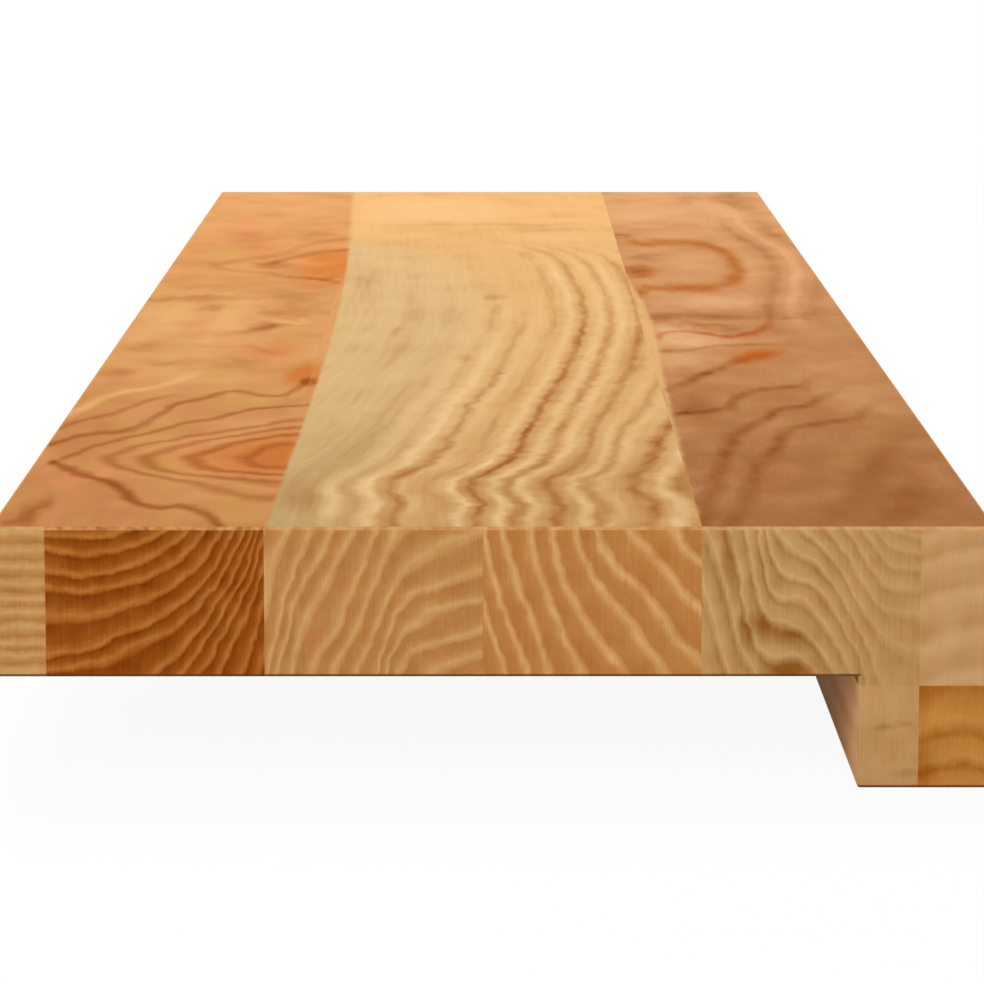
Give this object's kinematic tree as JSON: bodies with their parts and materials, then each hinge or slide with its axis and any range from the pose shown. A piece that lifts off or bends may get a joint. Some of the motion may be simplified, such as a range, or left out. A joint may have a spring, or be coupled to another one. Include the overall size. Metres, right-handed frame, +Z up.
{
  "type": "window sill board",
  "caption": "Long level board of solid wood staves glued edge to edge, with a square lip glued under its front edge, bedded on a wall below a window.",
  "frame": {"origin": "under the middle of the board, level with the foot of the lip", "axes": "+X from the back edge at the window to the front edge in the room, +Y along the board, +Z up through its thickness"},
  "size_m": [0.264, 1, 0.07],
  "materials": {
    "back_plank": "sanded and oiled, orange, with nested pointed grain",
    "middle_plank": "sanded and oiled, pale yellow, with wavy brown grain",
    "front_plank": "sanded and oiled, red-brown, with looped grain",
    "lip_wood": "sanded and oiled, tan to dark orange"
  },
  "bodies": {
    "root": {"board_stave_1": "back_plank", "board_stave_2": "back_plank", "board_stave_3": "middle_plank", "board_stave_4": "middle_plank", "board_stave_5": "front_plank", "board_stave_6": "front_plank", "lip_stave_1": "lip_wood", "lip_stave_2": "lip_wood"}
  },
  "joints": []
}
